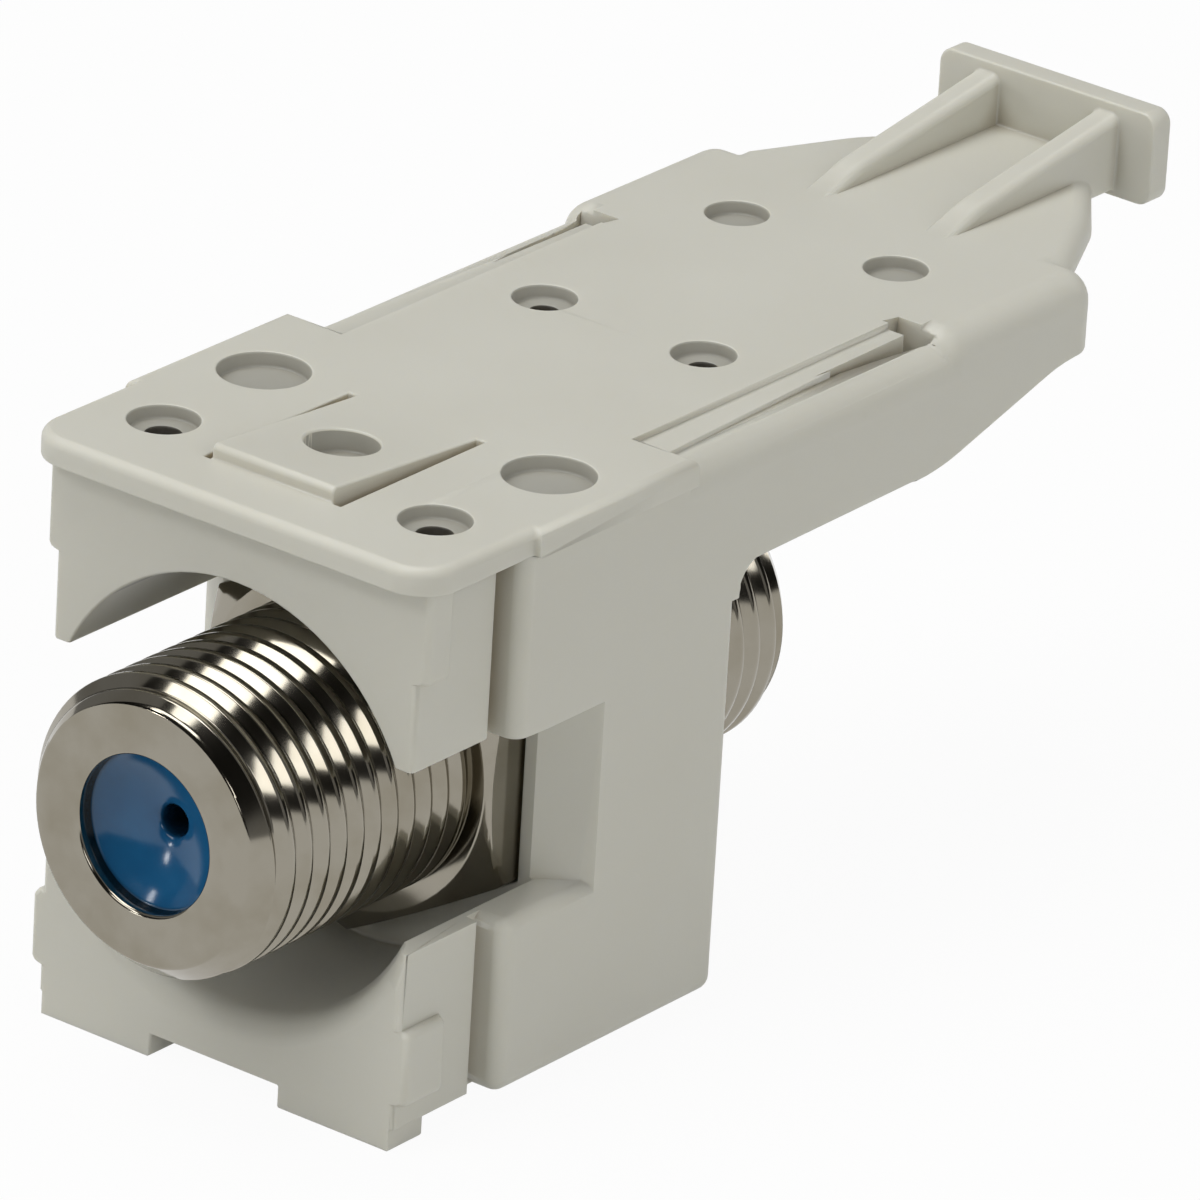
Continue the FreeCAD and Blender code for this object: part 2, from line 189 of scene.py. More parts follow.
# %% Colour and node helpers
def colour(hex_value):
    """Linear RGBA from an sRGB hex value."""
    channels = [int(hex_value[i:i + 2], 16) / 255 for i in (1, 3, 5)]
    return [c / 12.92 if c <= 0.04045 else ((c + 0.055) / 1.055) ** 2.4 for c in channels] + [1]


def add(tree, kind, sockets, **settings):
    """One shader node: settings are its properties, sockets its links and values."""
    node = tree.nodes.new(kind)
    for name, value in settings.items():
        setattr(node, name, value)
    for name, value in sockets.items():
        socket = next(s for s in node.inputs if s.enabled and s.name == name)
        if isinstance(value, bpy.types.NodeSocket):
            tree.links.new(value, socket)
        else:
            socket.default_value = value
    return node


print("off-white as linear light:", [round(c, 3) for c in colour("#cac9be")])

# %% [markdown]
# Three more helpers start and end a material. The first gives a texture's scale from the size of one cell of
# its pattern, the second an empty material, and the third the one output that a node's settings leave in
# use, because a Mix node has an output for each kind of data.

# %% Material helpers
def per_mm(size_mm):
    """Texture scale at which one cell of a pattern is this many millimetres wide."""
    return 1 / (size_mm * MM)


def blank(name):
    """A material with no nodes but its output."""
    material = bpy.data.materials.new(name)
    material.use_nodes = True
    material.node_tree.nodes.clear()
    tree = material.node_tree
    return material, tree, tree.nodes.new("ShaderNodeOutputMaterial")


def used_output(node):
    """The output that a node's settings leave in use."""
    return next(o for o in node.outputs if o.enabled)


print("a pattern of 7 mm has the scale", round(per_mm(7)))

# %% [markdown]
# The frame is injection moulded from a flame retardant ABS blend. The steel of its mould was spark eroded,
# which leaves a fine satin grain. The eye reads that as soft, even shading with broad highlights.
# Real mouldings also vary a little in tone from place to place, where the melt cooled faster or slower, so a
# slow noise of some millimetres shifts the colour by a percent or two. The grain is drawn at about 0.2 mm,
# which is coarser than the real one, because a finer one would vanish in the render.
# The plastic is faintly translucent and yellowish, so the shade in a groove is warm. Ambient occlusion finds
# the grooves, and they get painted shade in a warm brown.
# The round recesses in the deck get painted shade, darkest in the deep holes inside some of them. An
# attribute on the frame's faces says how dark.

# %% Off-white moulded plastic
RECESS_SHADE = "recess_shade"


def moulded_abs():
    """Satin off-white plastic, with painted warm shade in its grooves and painted shade in its round
    recesses.
    """
    material, tree, output = blank("moulded_abs_off_white")
    place = add(tree, "ShaderNodeTexCoord", {}).outputs["Object"]
    clouds = add(tree, "ShaderNodeTexNoise", {"Vector": place, "Scale": per_mm(7), "Detail": 3})
    tone = add(tree, "ShaderNodeValToRGB", {"Fac": clouds.outputs["Fac"]})
    tone.color_ramp.elements[0].color = colour("#c8c6ba")
    tone.color_ramp.elements[1].color = colour("#cdccc2")
    # Painted shade: ambient occlusion darkens the grooves towards a warm brown.
    hollow = add(tree, "ShaderNodeAmbientOcclusion", {"Distance": 1.0 * MM}, samples=8, only_local=True)
    depth = add(tree, "ShaderNodeMapRange", {"Value": hollow.outputs["AO"], "From Min": 0.75,
                                             "From Max": 0.2, "To Min": 0.0, "To Max": 0.48})
    painted_warm_shade = add(tree, "ShaderNodeMix", {"Factor": depth.outputs["Result"], "A": tone.outputs["Color"],
                                       "B": colour("#978564")}, data_type="RGBA")
    # Painted shade in the round recesses, read from the attribute on the frame's faces.
    recess = add(tree, "ShaderNodeAttribute", {}, attribute_name=RECESS_SHADE)
    shade = add(tree, "ShaderNodeMix", {"Factor": recess.outputs["Fac"], "A": used_output(painted_warm_shade),
                                        "B": colour("#3a362e")}, data_type="RGBA")
    grain = add(tree, "ShaderNodeTexNoise", {"Vector": place, "Scale": per_mm(0.2), "Detail": 2})
    relief = add(tree, "ShaderNodeBump", {"Height": grain.outputs["Fac"], "Strength": 0.12,
                                          "Distance": 0.02 * MM})
    gloss = add(tree, "ShaderNodeMapRange", {"Value": clouds.outputs["Fac"], "To Min": 0.42, "To Max": 0.52})
    surface = add(tree, "ShaderNodeBsdfPrincipled", {
        "Base Color": used_output(shade), "Roughness": gloss.outputs["Result"], "IOR": 1.53,
        "Subsurface Weight": 0.3, "Subsurface Scale": 0.6 * MM, "Subsurface Radius": (1.0, 0.9, 0.7),
        "Normal": relief.outputs["Normal"]})
    tree.links.new(surface.outputs["BSDF"], output.inputs["Surface"])
    return material


abs_plastic = moulded_abs()
print("material:", abs_plastic.name)

# %% [markdown]
# The barrel is turned from brass and plated with bright nickel. Nickel is a slightly warm grey metal, and
# its plating follows the fine rings that the lathe's tool left, so the highlights streak a little round the
# axis. The rings are drawn 0.57 mm apart, several times coarser than the real ones, because finer ones would
# vanish in the render. Faint warm stains, a millimetre or two wide, break up the plating.
# At a scale of 1, one ring of a wave texture is two pi twentieths wide.

# %% Nickel plate
RING_WIDTH = 0.565
WAVE_AT_SCALE_1 = 2 * math.pi / 20


def nickel_plate():
    """Bright nickel over turned brass, with the lathe's rings about the Y axis."""
    material, tree, output = blank("bright_nickel_plate")
    place = add(tree, "ShaderNodeTexCoord", {}).outputs["Object"]
    stains = add(tree, "ShaderNodeTexNoise", {"Vector": place, "Scale": per_mm(1.6), "Detail": 4})
    tone = add(tree, "ShaderNodeValToRGB", {"Fac": stains.outputs["Fac"]})
    tone.color_ramp.elements[0].color = colour("#8d8779")
    tone.color_ramp.elements[0].position = 0.3
    tone.color_ramp.elements[1].color = colour("#979286")
    tone.color_ramp.elements[1].position = 0.6
    rings = add(tree, "ShaderNodeTexWave", {"Vector": place, "Scale": WAVE_AT_SCALE_1 * per_mm(RING_WIDTH),
                                            "Distortion": 1.5, "Detail": 1},
                wave_type="RINGS", rings_direction="Y")
    relief = add(tree, "ShaderNodeBump", {"Height": rings.outputs["Fac"], "Strength": 0.05,
                                          "Distance": 0.01 * MM})
    gloss = add(tree, "ShaderNodeMapRange", {"Value": stains.outputs["Fac"], "To Min": 0.07, "To Max": 0.16})
    surface = add(tree, "ShaderNodeBsdfPrincipled", {
        "Base Color": tone.outputs["Color"], "Metallic": 1.0, "Roughness": gloss.outputs["Result"],
        "Normal": relief.outputs["Normal"]})
    tree.links.new(surface.outputs["BSDF"], output.inputs["Surface"])
    return material


nickel = nickel_plate()
print("material:", nickel.name)

# %% [markdown]
# The insert in the bore is a glossy blue polymer, moulded against a polished core pin. Its surface is smooth
# and a little translucent, so it gets a low roughness, a trace of scattering and a slow shift of tone. Close
# under the metal lip, ambient occlusion finds the corner, and painted shade takes the blue there to near
# black.

# %% Blue insert polymer
def insert_polymer():
    """Glossy blue plastic with painted shade, near black, in its corners."""
    material, tree, output = blank("blue_insert_polymer")
    place = add(tree, "ShaderNodeTexCoord", {}).outputs["Object"]
    clouds = add(tree, "ShaderNodeTexNoise", {"Vector": place, "Scale": per_mm(1.2), "Detail": 2})
    tone = add(tree, "ShaderNodeValToRGB", {"Fac": clouds.outputs["Fac"]})
    tone.color_ramp.elements[0].color = colour("#164f7b")
    tone.color_ramp.elements[1].color = colour("#1f628f")
    relief = add(tree, "ShaderNodeBump", {"Height": clouds.outputs["Fac"], "Strength": 0.08,
                                          "Distance": 0.02 * MM})
    # Painted shade: ambient occlusion darkens the blue towards near black under the lip.
    hollow = add(tree, "ShaderNodeAmbientOcclusion", {"Distance": 1.2 * MM}, samples=8)
    depth = add(tree, "ShaderNodeMapRange", {"Value": hollow.outputs["AO"], "From Min": 0.9,
                                             "From Max": 0.35, "To Min": 0.0, "To Max": 1.0})
    shade = add(tree, "ShaderNodeMix", {"Factor": depth.outputs["Result"], "A": tone.outputs["Color"],
                                        "B": colour("#0a1d2a")}, data_type="RGBA")
    surface = add(tree, "ShaderNodeBsdfPrincipled", {
        "Base Color": used_output(shade), "Roughness": 0.14, "IOR": 1.5, "Subsurface Weight": 0.05,
        "Subsurface Scale": 0.4 * MM, "Normal": relief.outputs["Normal"]})
    tree.links.new(surface.outputs["BSDF"], output.inputs["Surface"])
    return material


blue_polymer = insert_polymer()
print("material:", blue_polymer.name)

# %% [markdown]
# Inside and behind sit two more metals: the spring contact is bare phosphor bronze, rolled from strip, and
# the toothed washer is zinc plated spring steel. The eye sees a warm and a cool metal, both duller than the
# nickel. Both are drawn as a metal whose tone and gloss vary with one noise, stretched along the axis for
# the marks that rolling leaves.

# %% Bronze and zinc plate
ROLLING_STRETCH = 0.2


def strip_metal(name, dark, light, mark_mm, rough_low, rough_high):
    """A metal rolled to strip, with marks of a given width along the Y axis."""
    material, tree, output = blank(name)
    place = add(tree, "ShaderNodeTexCoord", {}).outputs["Object"]
    stretched = add(tree, "ShaderNodeMapping", {"Vector": place, "Scale": (1, ROLLING_STRETCH, 1)})
    marks = add(tree, "ShaderNodeTexNoise", {"Vector": stretched.outputs["Vector"],
                                             "Scale": per_mm(mark_mm), "Detail": 3})
    tone = add(tree, "ShaderNodeValToRGB", {"Fac": marks.outputs["Fac"]})
    tone.color_ramp.elements[0].color = colour(dark)
    tone.color_ramp.elements[1].color = colour(light)
    gloss = add(tree, "ShaderNodeMapRange", {"Value": marks.outputs["Fac"], "To Min": rough_low,
                                             "To Max": rough_high})
    surface = add(tree, "ShaderNodeBsdfPrincipled", {
        "Base Color": tone.outputs["Color"], "Metallic": 1.0, "Roughness": gloss.outputs["Result"]})
    tree.links.new(surface.outputs["BSDF"], output.inputs["Surface"])
    return material


bronze = strip_metal("phosphor_bronze_strip", "#b98a54", "#d3a56c", mark_mm=0.15,
                     rough_low=0.25, rough_high=0.4)
zinc = strip_metal("zinc_plated_spring_steel", "#8f9296", "#b4b7ba", mark_mm=0.4,
                   rough_low=0.3, rough_high=0.45)
print("materials:", bronze.name, zinc.name)

# %% [markdown]
# The frame is one moulding, so it stays one piece. It could be modelled anew, but the solid already has all
# its forms, so its own mesh is taken and only its moulded edges are rounded.
# The low pads on the flange's sides have softer rims than the rest, so they are rounded first and wider.
# The flare at the front of the cradle comes as two slopes that turn by 30 degrees. Those edges are left
# alone, because smooth shading makes them one round.

# %% Round the frame's edges
PAD_ROUND, MOULD_ROUND = 0.2, 0.08
FLANGE_SIDE, PAD_FACE, PAD_END, PAD_TOP = 6.885, 7.26, 2.0, 8.75
STEEPER_THAN_FLARE_DEG = 32


def on_pad(edge):
    """Whether an edge lies on a pad, outside the flange's side and below the deck."""
    return all(FLANGE_SIDE < abs(v.co.x) / MM < PAD_FACE and v.co.y / MM < PAD_END
               and v.co.z / MM < PAD_TOP for v in edge.verts)


frame_bm = softened(welded("module_frame"), PAD_ROUND, chosen=on_pad)
frame_bm = softened(frame_bm, MOULD_ROUND, sharp_deg=STEEPER_THAN_FLARE_DEG)

# %% [markdown]
# Pins in the mould formed the deck's round recesses, and narrow core pins the deep holes inside some of
# them. Their places are written as (across, along, radius), and each one off the middle has a mirror image.
# They get painted shade, darkest in the deep holes. A second material could paint it, but a number on each
# face lets the plastic stay one material.

# %% Shade the recesses
PINS = ((5.17, 2.68, 1.1), (0.0, 4.69, 1.15), (5.45, 7.67, 1.42), (3.06, 18.16, 1.0), (3.08, 27.74, 1.0))
CORES = ((5.17, 2.68, 0.55), (3.06, 18.16, 0.45))
DECK_RIM_Z, PIN_FLOOR_Z, CORE_END_Z = 9.70, 9.25, 5.0
PIN_SHADE, CORE_SHADE = 0.4, 0.95
ON_WALL = 0.03


def inside(place, rounds):
    """Whether a place lies within one of the rounds, seen from above."""
    return any(math.hypot(abs(place.x) - x, place.y - y) < radius + ON_WALL for x, y, radius in rounds)


def painted_recess_shade(place):
    """How much painted shade the deck's round recesses put on a place on the frame, from 0 to 1."""
    if CORE_END_Z < place.z < PIN_FLOOR_Z and inside(place, CORES):
        return CORE_SHADE
    if CORE_END_Z < place.z < DECK_RIM_Z and inside(place, PINS):
        return PIN_SHADE
    return 0


# Each face gets its share of painted shade: some in the recesses, more in the deep holes.
recess_shade = frame_bm.faces.layers.float.new(RECESS_SHADE)
for face in frame_bm.faces:
    face[recess_shade] = painted_recess_shade(face.calc_center_median() / MM)
piece("moulded_frame", frame_bm, abs_plastic, "module_frame", "frame_plastic")

# %% [markdown]
# The solids show each threaded end as a plain cylinder at the crest's diameter. The real thread has 32 turns
# to the inch and flanks at 60 degrees, and the crests of a plated one are worn to broad flat lands. A bump
# map would leave its outline smooth, so it is cut as a true helix.
# One turn of a screw is one spin: a zigzag of all the teeth is turned once about the axis and pushed along
# by one pitch on the way, so that each tooth ends where the next one began. Welding closes the seam.
# A tooth is drawn as shares of the pitch along the axis and of the depth.

# %% Cut the thread
PITCH = 25.4 / 32
CREST = 4.72
THREAD_DEPTH = 0.45 * PITCH
TOOTH = ((0.00, 0.0), (0.14, 0.0), (0.18, 0.08), (0.41, 0.92), (0.46, 1.0), (0.70, 1.0), (0.75, 0.92),
         (0.96, 0.08))
THREAD_START = 0.75
TURN_STEPS = 96
SPARE_TEETH = 2
SEAM = 0.001

barrel_low, barrel_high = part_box("coupler_body")
front_y, rear_y = barrel_low.y, barrel_high.y


def threaded_skin():
    """A screw surface a little longer than the barrel at both ends."""
    bm = bmesh.new()
    teeth = math.ceil((rear_y - front_y) / (PITCH * MM)) + SPARE_TEETH + 1
    last = None
    for i in range(teeth):
        for along, height in TOOTH:
            y = front_y + (i - SPARE_TEETH + along + THREAD_START) * PITCH * MM
            vertex = bm.verts.new((0, y, (CREST - THREAD_DEPTH * (1 - height)) * MM))
            if last:
                bm.edges.new((last, vertex))
            last = vertex
    bmesh.ops.spin(bm, geom=bm.verts[:] + bm.edges[:], cent=(0, 0, 0), axis=(0, 1, 0), angle=2 * math.pi,
                   steps=TURN_STEPS, dvec=(0, PITCH * MM / TURN_STEPS, 0), use_merge=False)
    bmesh.ops.remove_doubles(bm, verts=bm.verts, dist=SEAM * MM)
    return bm


barrel_bm = threaded_skin()
print("thread:", len(barrel_bm.faces), "faces")

# %% [markdown]
# A plane cuts each end of the thread square. Where a turn of the thread passes close to the cut, slivers are
# left, so points that nearly meet are merged and the rim is set back on the plane.

# %% Trim the ends
SLIVER = 0.03
ON_PLANE = 0.0001

for cut_y, side in ((front_y, 1), (rear_y, -1)):
    bmesh.ops.bisect_plane(barrel_bm, geom=barrel_bm.verts[:] + barrel_bm.edges[:] + barrel_bm.faces[:],
                           dist=ON_PLANE * MM, plane_co=(0, cut_y, 0), plane_no=(0, side, 0),
                           clear_inner=True)
    beside = [v for v in barrel_bm.verts if abs(v.co.y - cut_y) < SLIVER * MM]
    bmesh.ops.remove_doubles(barrel_bm, verts=beside, dist=SLIVER * MM)
    for vertex in barrel_bm.verts:
        if vertex.is_boundary and abs(vertex.co.y - cut_y) < SLIVER * MM:
            vertex.co.y = cut_y
print("barrel runs from", round(front_y / MM, 2), "to", round(rear_y / MM, 2), "mm")

# %% [markdown]
# Both ends of the real barrel are turned to a taper, which cuts the first teeth down, so that a nut starts
# easily. Drawing every point that stands outside the taper in to it does the same.

# %% Taper the ends
TAPER_LENGTH = 0.8
TAPER_DROP = 0.63


def taper_limit(y):
    """Largest radius that the end tapers leave at a place along the barrel."""
    from_end = min(y - front_y, rear_y - y) / MM
    return (CREST - TAPER_DROP * (1 - from_end / TAPER_LENGTH)) * MM


for vertex in barrel_bm.verts:
    radius = math.hypot(vertex.co.x, vertex.co.z)
    keep = min(1, taper_limit(vertex.co.y) / radius)
    vertex.co = (vertex.co.x * keep, vertex.co.y, vertex.co.z * keep)
FACE = CREST - TAPER_DROP
print("end faces are", round(2 * FACE, 2), "mm wide")

# %% [markdown]
# The end faces and the bore continue from the two open rims: each rim is extruded and set to the next radius
# and place along the axis, as a lathe's tool would pass them. A Boolean cut could open the bore as well, but
# it would leave thin faces along the thread's start.
# The front face turns in to a narrow mouth with a rounded lip, and the bore behind it is wide enough for the
# insert. The two inner rims are bridged to close the bore.

# %% Turn the faces and the bore
def rim(bm, y):
    """Open edges of the barrel at one end."""
    return [e for e in bm.edges if e.is_boundary and all(abs(v.co.y - y) < SEAM * MM for v in e.verts)]


def pass_tool(bm, edges, stations):
    """Extrudes a rim through (radius, y) stations in millimetres and returns the last rim."""
    for radius, y in stations:
        grown = bmesh.ops.extrude_edge_only(bm, edges=edges)["geom"]
        edges = [g for g in grown if isinstance(g, bmesh.types.BMEdge)]
        for vertex in {v for e in edges for v in e.verts}:
            keep = radius * MM / math.hypot(vertex.co.x, vertex.co.z)
            vertex.co = (vertex.co.x * keep, y * MM, vertex.co.z * keep)
        edges = [e for e in edges if e.is_boundary]
    return edges


MOUTH, BORE, LIP_LENGTH = 2.49, 3.2, 0.6
FACE_BAND, LIP_ROUND, LIP_MIDDLE, REAR_BREAK = 0.09, 0.1, 0.03, 0.08
front, rear = front_y / MM, rear_y / MM
front_rim = pass_tool(barrel_bm, rim(barrel_bm, front_y),
                      [(FACE - FACE_BAND, front), (MOUTH + LIP_ROUND, front),
                       (MOUTH + LIP_MIDDLE, front + LIP_MIDDLE), (MOUTH, front + LIP_ROUND),
                       (MOUTH, front + LIP_LENGTH), (BORE, front + LIP_LENGTH)])
rear_rim = pass_tool(barrel_bm, rim(barrel_bm, rear_y),
                     [(FACE - FACE_BAND, rear), (BORE + REAR_BREAK, rear), (BORE, rear - REAR_BREAK)])
bmesh.ops.bridge_loops(barrel_bm, edges=front_rim + rear_rim)
bmesh.ops.recalc_face_normals(barrel_bm, faces=barrel_bm.faces)
print("open edges left:", sum(e.is_boundary for e in barrel_bm.edges))

# %% [markdown]
# The hex collar is taken over from the solid, which already has its chamfered corners: only its faces
# outside the thread and between its two ends are kept. Its edges get the small round that a tumbled part
# has. Its two open rims are drawn in below the thread's root and bridged, so that no groove opens under it.

# %% Add the hex collar
COLLAR_ROUND = 0.05
BELOW_CREST, ABOVE_CREST = 0.1, 0.2
ROOT_SHARE = 0.85


def on_barrel(face):
    """Whether a face belongs to the solid's plain cylinder, its ends or its bore."""
    radii = [math.hypot(v.co.x, v.co.z) / MM for v in face.verts]
    return min(radii) < CREST - BELOW_CREST or max(radii) < CREST + ABOVE_CREST


collar_bm = softened(welded("coupler_body"), COLLAR_ROUND)
bmesh.ops.delete(collar_bm, geom=[f for f in collar_bm.faces if on_barrel(f)], context="FACES")
collar_rims = [e for e in collar_bm.edges if e.is_boundary]
grown = bmesh.ops.extrude_edge_only(collar_bm, edges=collar_rims)["geom"]
drawn_in = [g for g in grown if isinstance(g, bmesh.types.BMVert)]
bmesh.ops.scale(collar_bm, vec=(ROOT_SHARE, 1, ROOT_SHARE), verts=drawn_in)
bmesh.ops.bridge_loops(collar_bm, edges=[e for e in collar_bm.edges if e.is_boundary])
bmesh.ops.recalc_face_normals(collar_bm, faces=collar_bm.faces)
collar_mesh = bpy.data.meshes.new("hex_collar")
collar_bm.to_mesh(collar_mesh)
collar_bm.free()
barrel_bm.from_mesh(collar_mesh)
bpy.data.meshes.remove(collar_mesh)
piece("threaded_barrel", barrel_bm, nickel, "coupler_body", "nickel_plated_brass")

# %% [markdown]
# The insert leads the cable's pin to the contact: a shallow bowl that narrows to a small hole with a rounded
# lip. It is a body of revolution, so its half section is drawn once, as (radius, depth), and spun. The rear
# insert is the same one, turned to face the other way about the middle of the barrel.

# %% Front and rear inserts
INSERT_LENGTH = 11.9
PIN_HOLE, CONTACT_SEAT, SEAT_DEPTH = 0.5, 0.97, 1.85
EDGE_BREAK = 0.06
BOWL = ((2.47, 0.0), (2.4, 0.04), (2.2, 0.2), (1.8, 0.44), (1.3, 0.64), (0.85, 0.77), (0.62, 0.82),
        (0.53, 0.88), (PIN_HOLE, 0.97))
SPIN_STEPS = 72
BOWL_CRISP_DEG = 50


def insert(name, node, faces_front):
    """One insert, with its bowl towards the front or the rear."""
    low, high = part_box(node)
    outer = high.z / MM
    mouth_y, inward = (low.y / MM, 1) if faces_front else (high.y / MM, -1)
    section = [(outer, INSERT_LENGTH), (outer, EDGE_BREAK), (outer - EDGE_BREAK, 0.0), *BOWL,
               (PIN_HOLE, SEAT_DEPTH), (CONTACT_SEAT, SEAT_DEPTH), (CONTACT_SEAT, INSERT_LENGTH)]
    bm = bmesh.new()
    ring = [bm.verts.new((0, (mouth_y + inward * depth) * MM, radius * MM)) for radius, depth in section]
    for a, b in zip(ring, ring[1:] + ring[:1]):
        bm.edges.new((a, b))
    bmesh.ops.spin(bm, geom=bm.verts[:] + bm.edges[:], cent=(0, 0, 0), axis=(0, 1, 0), angle=2 * math.pi,
                   steps=SPIN_STEPS, use_merge=True)
    bmesh.ops.recalc_face_normals(bm, faces=bm.faces)
    piece(name, bm, blue_polymer, node, "insulator_plastic", crisp_deg=BOWL_CRISP_DEG)


insert("front_insert", "front_insulator", faces_front=True)
insert("rear_insert", "rear_insulator", faces_front=False)

# %% [markdown]
# The small hardware keeps the solids' shapes: the spring contact, the ring that closes the rear bore, the
# toothed washer and the nut that clamps the barrel. They only need softened edges and their own metals.
# Each row names a piece, the solid that it stands for, the round of its edges, its finish and its slot.

# %% Contact, ring, washer and nut
HARDWARE = (("spring_contact", "center_contact", 0.03, bronze, "contact_bronze"),
            ("bore_ring", "end_ring", 0.06, nickel, "nickel_plated_brass"),
            ("toothed_washer", "lock_washer", 0.04, zinc, "washer_steel"),
            ("clamp_nut", "hex_nut", 0.06, nickel, "nickel_plated_brass"))

for name, node, edge_round, metal, slot in HARDWARE:
    piece(name, softened(welded(node), edge_round), metal, node, slot)

# %% [markdown]
# The camera stands where the photograph was taken from: well to the front right and above, a long way off,
# with a long lens, so that the lines of the part hardly converge. It is turned a few degrees about its own
# axis, so its three angles are written out instead of letting it track the part.

# %% Camera
EYE = Vector((219.213, -274.521, 162.765))
TURN_DEG = (66.0496, -3.1447, 38.2636)
FOCAL_LENGTH, SENSOR_WIDTH = 393.34, 36
NEAREST, FARTHEST = 0.01, 10

lens = bpy.data.cameras.new("photo_camera")
lens.lens = FOCAL_LENGTH
lens.sensor_width = SENSOR_WIDTH
lens.clip_start, lens.clip_end = NEAREST, FARTHEST
camera = bpy.data.objects.new("photo_camera", lens)
camera.location = EYE * MM
camera.rotation_euler = [math.radians(angle) for angle in TURN_DEG]
bpy.context.scene.collection.objects.link(camera)
bpy.context.scene.camera = camera
print("camera is", round(EYE.length), "mm from the part")

# %% [markdown]
# The part stands on a plain white sweep of matte paper, which the eye takes as no place at all. A slow shift
# of tone, some centimetres wide, keeps it from being one flat colour.
# Most of what the camera and the mirrors see of it is an even white glow, as on a light table, and the rest
# is paper that keeps the soft shadow. The glow lights nothing else.

# %% Paper
GLOW_SHARE = 0.95


def paper():
    """Matte white paper that shows the camera, mirrors and clear things mostly an even glow."""
    material, tree, output = blank("matte_white_paper")
    place = add(tree, "ShaderNodeTexCoord", {}).outputs["Object"]
    clouds = add(tree, "ShaderNodeTexNoise", {"Vector": place, "Scale": per_mm(40), "Detail": 2})
    tone = add(tree, "ShaderNodeValToRGB", {"Fac": clouds.outputs["Fac"]})
    tone.color_ramp.elements[0].color = colour("#d6d6d4")
    tone.color_ramp.elements[1].color = colour("#dadad8")
    surface = add(tree, "ShaderNodeBsdfPrincipled", {"Base Color": tone.outputs["Color"], "Roughness": 0.9,
                                                     "Specular IOR Level": 0.1})
    glow = add(tree, "ShaderNodeEmission", {"Color": colour("#ffffff"), "Strength": 1.0})
    ray = add(tree, "ShaderNodeLightPath", {}).outputs
    seen = ray["Is Camera Ray"]
    for other in ("Is Glossy Ray", "Is Transmission Ray"):
        either = add(tree, "ShaderNodeMath", {"Value": seen}, operation="ADD")
        tree.links.new(ray[other], either.inputs[1])
        seen = either.outputs["Value"]
    share = add(tree, "ShaderNodeMapRange", {"Value": seen, "To Max": GLOW_SHARE})
    both = add(tree, "ShaderNodeMixShader", {"Fac": share.outputs["Result"]})
    tree.links.new(surface.outputs["BSDF"], both.inputs[1])
    tree.links.new(glow.outputs["Emission"], both.inputs[2])
    tree.links.new(both.outputs["Shader"], output.inputs["Surface"])
    return material


floor_paper = paper()
print("material:", floor_paper.name)

# %% [markdown]
# The floor is one flat sheet at the part's lowest point, large enough to fill every view. The two cards that
# come later are flat sheets too, so one function makes all three.

# %% Floor
FLOOR_HALF = 3
floor_z = cad_box[0].z


def sheet(name, half_width, centre, material, tilt=0):
    """A flat square sheet of the studio, turned about X before it is set in its place."""
    bm = bmesh.new()
    bmesh.ops.create_grid(bm, x_segments=1, y_segments=1, size=half_width)
    bmesh.ops.rotate(bm, verts=bm.verts, matrix=Matrix.Rotation(tilt, 3, "X"))
    bmesh.ops.translate(bm, verts=bm.verts, vec=centre)
    mesh = bpy.data.meshes.new(name)
    bm.to_mesh(mesh)
    bm.free()
    mesh.materials.append(material)
    made = bpy.data.objects.new(name, mesh)
    bpy.context.scene.collection.objects.link(made)
    return made


sheet("paper_floor", FLOOR_HALF, (0, 0, floor_z), floor_paper)
print("floor lies at", round(floor_z / MM, 2), "mm")

# %% [markdown]
# The largest soft box hangs above the part, so that the deck is the brightest side. A second one stands to
# the front left, where the front flanks of the thread see it as long white streaks. A small one to the front
# right adds a second, shorter streak, and two spots give the insert its highlights, at its rim and under its
# hole. These three small ones only show in mirrors.
# Two fills do the opposite: one lifts the right sides and one the front from the lower left, and neither
# shows in a mirror. The world is an even grey.
# A lamp's power for plain exposure follows from its distance: pi squared times the distance squared lights a
# surface that faces it so that its colour renders as written.

# %% Studio light
def soft_box(name, toward, distance, width, height, level, matte=True, mirrors=True):
    """Area lamp facing the part, at a share of plain exposure, seen by matte surfaces, mirrors or both."""
    lamp = bpy.data.lights.new(name, "AREA")
    lamp.shape = "RECTANGLE"
    lamp.size, lamp.size_y = width, height
    lamp.energy = level * math.pi ** 2 * distance ** 2
    box = bpy.data.objects.new(name, lamp)
    aim = Vector(toward).normalized()
    box.location = aim * distance
    box.rotation_euler = aim.to_track_quat("Z", "Y").to_euler()
    box.visible_diffuse, box.visible_glossy = matte, mirrors
    bpy.context.scene.collection.objects.link(box)
    print("lamp:", name, "at", level, "of plain exposure")


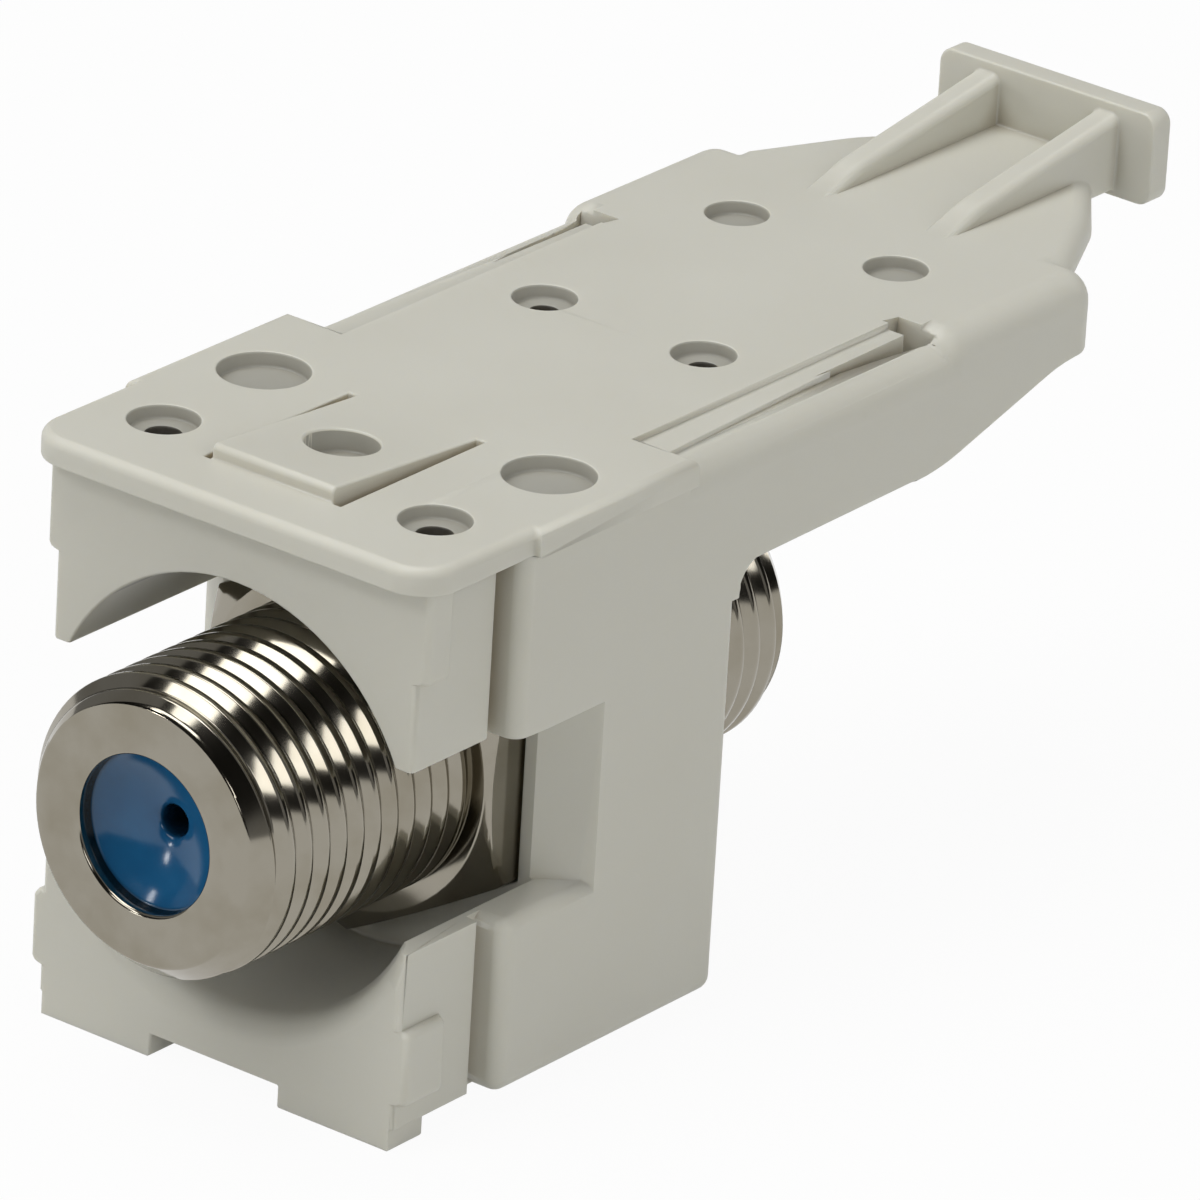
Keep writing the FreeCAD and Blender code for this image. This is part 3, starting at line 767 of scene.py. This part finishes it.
NEAR, FAR = 0.7, 1.0
soft_box("top_box", (-0.17, -0.08, 0.98), NEAR, width=0.5, height=0.4, level=0.56)
soft_box("front_left_box", (-0.29, -0.65, 0.70), NEAR, width=0.38, height=0.17, level=0.20)
soft_box("streak_box", (0.54, -0.75, 0.37), NEAR, width=0.16, height=0.22, level=0.08, matte=False)
soft_box("insert_rim_spot", (-0.50, -0.69, 0.53), NEAR, width=0.06, height=0.06, level=0.03, matte=False)
soft_box("insert_hole_spot", (-0.53, -0.84, 0.06), NEAR, width=0.04, height=0.06, level=0.03, matte=False)
soft_box("side_fill", (0.90, -0.10, 0.42), FAR, width=0.8, height=0.6, level=0.28, mirrors=False)
soft_box("left_fill", (-0.70, -0.70, 0.14), FAR, width=0.6, height=0.3, level=0.16, mirrors=False)

WORLD_GREY = 0.28
studio = bpy.data.worlds.new("studio")
studio.use_nodes = True
studio.node_tree.nodes["Background"].inputs["Color"].default_value = (WORLD_GREY, WORLD_GREY, WORLD_GREY, 1)
bpy.context.scene.world = studio
bpy.context.scene.view_settings.view_transform = "Standard"

# %% [markdown]
# Bright metal shows whatever stands round it, and in an evenly lit room it would look like grey plastic. So
# a photographer sets up black cards: here one stands far behind the lamps and one behind the camera. They
# only show in mirrors, so the plastic keeps its even light.

# %% Black cards for the metal
CARD_DISTANCE, CARD_HALF = 0.9, 1.5


def card_stock():
    """Matte black card in slightly uneven tones, which the metal shows as dark bands."""
    material, tree, output = blank("black_card")
    place = add(tree, "ShaderNodeTexCoord", {}).outputs["Object"]
    clouds = add(tree, "ShaderNodeTexNoise", {"Vector": place, "Scale": per_mm(200)})
    tone = add(tree, "ShaderNodeValToRGB", {"Fac": clouds.outputs["Fac"]})
    tone.color_ramp.elements[0].color = colour("#1c1a18")
    tone.color_ramp.elements[1].color = colour("#2a2826")
    surface = add(tree, "ShaderNodeBsdfPrincipled", {"Base Color": tone.outputs["Color"], "Roughness": 0.9})
    tree.links.new(surface.outputs["BSDF"], output.inputs["Surface"])
    return material


black_card = card_stock()
for name, y in (("rear_card", CARD_DISTANCE), ("front_card", -CARD_DISTANCE)):
    card = sheet(name, CARD_HALF, (0, y, CARD_HALF + floor_z), black_card, tilt=math.pi / 2)
    card.visible_camera = card.visible_diffuse = card.visible_shadow = card.visible_transmission = False
print("cards stand", CARD_DISTANCE, "m behind and before the part")
